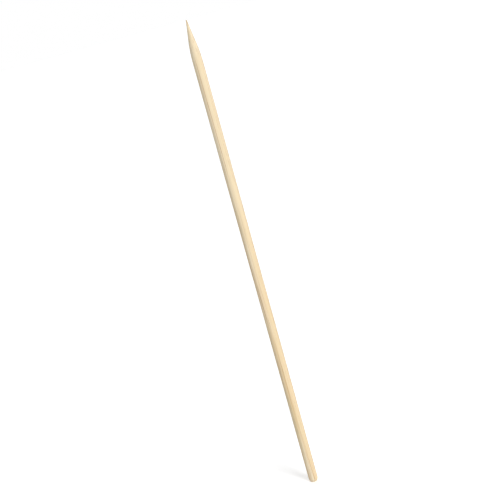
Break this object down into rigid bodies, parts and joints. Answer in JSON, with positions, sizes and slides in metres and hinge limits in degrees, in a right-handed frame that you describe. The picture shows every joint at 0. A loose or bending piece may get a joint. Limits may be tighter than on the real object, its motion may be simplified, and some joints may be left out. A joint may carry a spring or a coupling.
{
  "type": "skewer",
  "caption": "Round bamboo skewer: a straight drawn stick with a long ground point at one end and a blunt sawn butt with a rounded rim at the other.",
  "frame": {"origin": "centre of the flat sawn butt face", "axes": "+Z along the stick from the butt to the point; the section is round, so X and Y are free"},
  "size_m": [0.003, 0.003, 0.15],
  "materials": {
    "bamboo": "bare pale bamboo, smooth-drawn and satin, with fine lengthwise fibres"
  },
  "bodies": {
    "root": {"skewer": "bamboo"}
  },
  "joints": []
}
